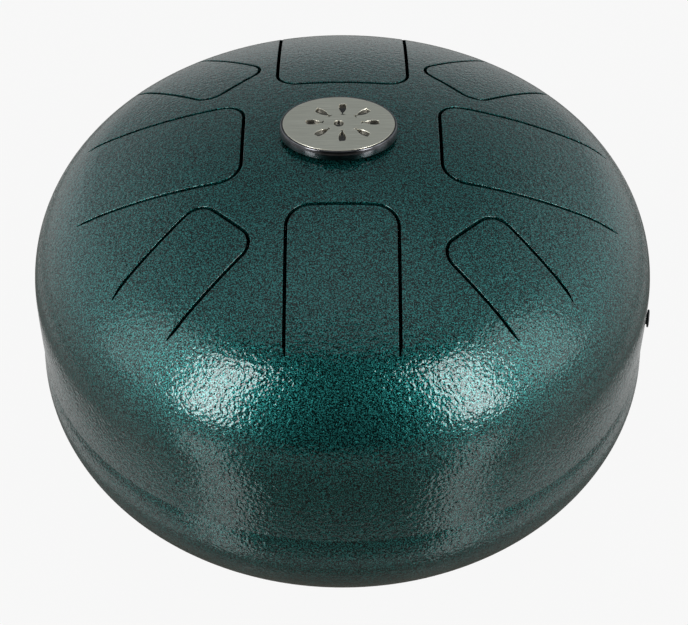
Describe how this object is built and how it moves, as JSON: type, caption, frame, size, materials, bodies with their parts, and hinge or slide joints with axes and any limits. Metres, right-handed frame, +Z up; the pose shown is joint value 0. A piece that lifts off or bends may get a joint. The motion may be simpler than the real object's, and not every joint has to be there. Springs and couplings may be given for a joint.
{
  "type": "steel tongue drum",
  "caption": "Round hand drum of two welded dished steel heads, with tuned tongues cut in the crown, a sound port below and rubber feet.",
  "frame": {"origin": "on the drum's axis, at the level of the feet's bases", "axes": "+Z up along the drum's axis, -Y towards the player and the front tongue, +X to the player's right"},
  "size_m": [0.3058, 0.3048, 0.2227],
  "materials": {
    "coated_steel": "glossy dark teal hammered powder coat",
    "foot_rubber": "matt moulded rubber",
    "edging_rubber": "satin extruded rubber",
    "plug_rubber": "satin moulded rubber",
    "zinc_steel": "bright zinc plate",
    "badge_metal": "polished black nickel",
    "badge_enamel": "dark glossy enamel",
    "badge_plate": "satin champagne nickel",
    "badge_foam": "closed-cell adhesive foam"
  },
  "bodies": {
    "drum": {"top_shell": "coated_steel", "bottom_shell": "coated_steel", "seam_weld": "coated_steel", "port_trim": "edging_rubber", "foot_front_right": "foot_rubber", "foot_back_right": "foot_rubber", "foot_back_left": "foot_rubber", "foot_front_left": "foot_rubber", "foot_saddles": "foot_rubber", "foot_screws": "zinc_steel", "foot_washers": "zinc_steel", "nut_washers": "zinc_steel", "foot_nuts": "zinc_steel", "badge_pad": "badge_foam", "badge_base": "badge_metal", "badge_enamel": "badge_enamel", "badge_face": "badge_plate"},
    "tongue_front": {"tongue_front": "coated_steel"},
    "tongue_front_right": {"tongue_front_right": "coated_steel"},
    "tongue_right": {"tongue_right": "coated_steel"},
    "tongue_back_right": {"tongue_back_right": "coated_steel"},
    "tongue_back": {"tongue_back": "coated_steel"},
    "tongue_back_left": {"tongue_back_left": "coated_steel"},
    "tongue_left": {"tongue_left": "coated_steel"},
    "tongue_front_left": {"tongue_front_left": "coated_steel"},
    "side_plug": {"side_plug": "plug_rubber"}
  },
  "joints": [
    {"name": "tongue_front_flex", "type": "hinge", "parent": "drum", "child": "tongue_front", "pos_m": [0, -0.12093, 0.1864], "axis": [1, 0, 0], "range_deg": [-0.5, 0.5], "stiffness_Nm_per_rad": 25},
    {"name": "tongue_front_right_flex", "type": "hinge", "parent": "drum", "child": "tongue_front_right", "pos_m": [0.09201, -0.09201, 0.1799], "axis": [0.7071, 0.7071, 0], "range_deg": [-0.5, 0.5], "stiffness_Nm_per_rad": 12},
    {"name": "tongue_right_flex", "type": "hinge", "parent": "drum", "child": "tongue_right", "pos_m": [0.13062, 0, 0.17947], "axis": [0, 1, 0], "range_deg": [-0.5, 0.5], "stiffness_Nm_per_rad": 25},
    {"name": "tongue_back_right_flex", "type": "hinge", "parent": "drum", "child": "tongue_back_right", "pos_m": [0.09081, 0.09081, 0.18131], "axis": [-0.7071, 0.7071, 0], "range_deg": [-0.5, 0.5], "stiffness_Nm_per_rad": 12},
    {"name": "tongue_back_flex", "type": "hinge", "parent": "drum", "child": "tongue_back", "pos_m": [0, 0.12693, 0.18246], "axis": [-1, 0, 0], "range_deg": [-0.5, 0.5], "stiffness_Nm_per_rad": 25},
    {"name": "tongue_back_left_flex", "type": "hinge", "parent": "drum", "child": "tongue_back_left", "pos_m": [-0.09116, 0.09116, 0.1809], "axis": [-0.7071, -0.7071, 0], "range_deg": [-0.5, 0.5], "stiffness_Nm_per_rad": 12},
    {"name": "tongue_left_flex", "type": "hinge", "parent": "drum", "child": "tongue_left", "pos_m": [-0.12543, 0, 0.18355], "axis": [0, -1, 0], "range_deg": [-0.5, 0.5], "stiffness_Nm_per_rad": 25},
    {"name": "tongue_front_left_flex", "type": "hinge", "parent": "drum", "child": "tongue_front_left", "pos_m": [-0.09166, -0.09166, 0.18033], "axis": [0.7071, -0.7071, 0], "range_deg": [-0.5, 0.5], "stiffness_Nm_per_rad": 12},
    {"name": "side_plug_pull", "type": "slide", "parent": "drum", "child": "side_plug", "axis": [0.9919, -0.1271, 0], "range_m": [0, 0.012]}
  ]
}
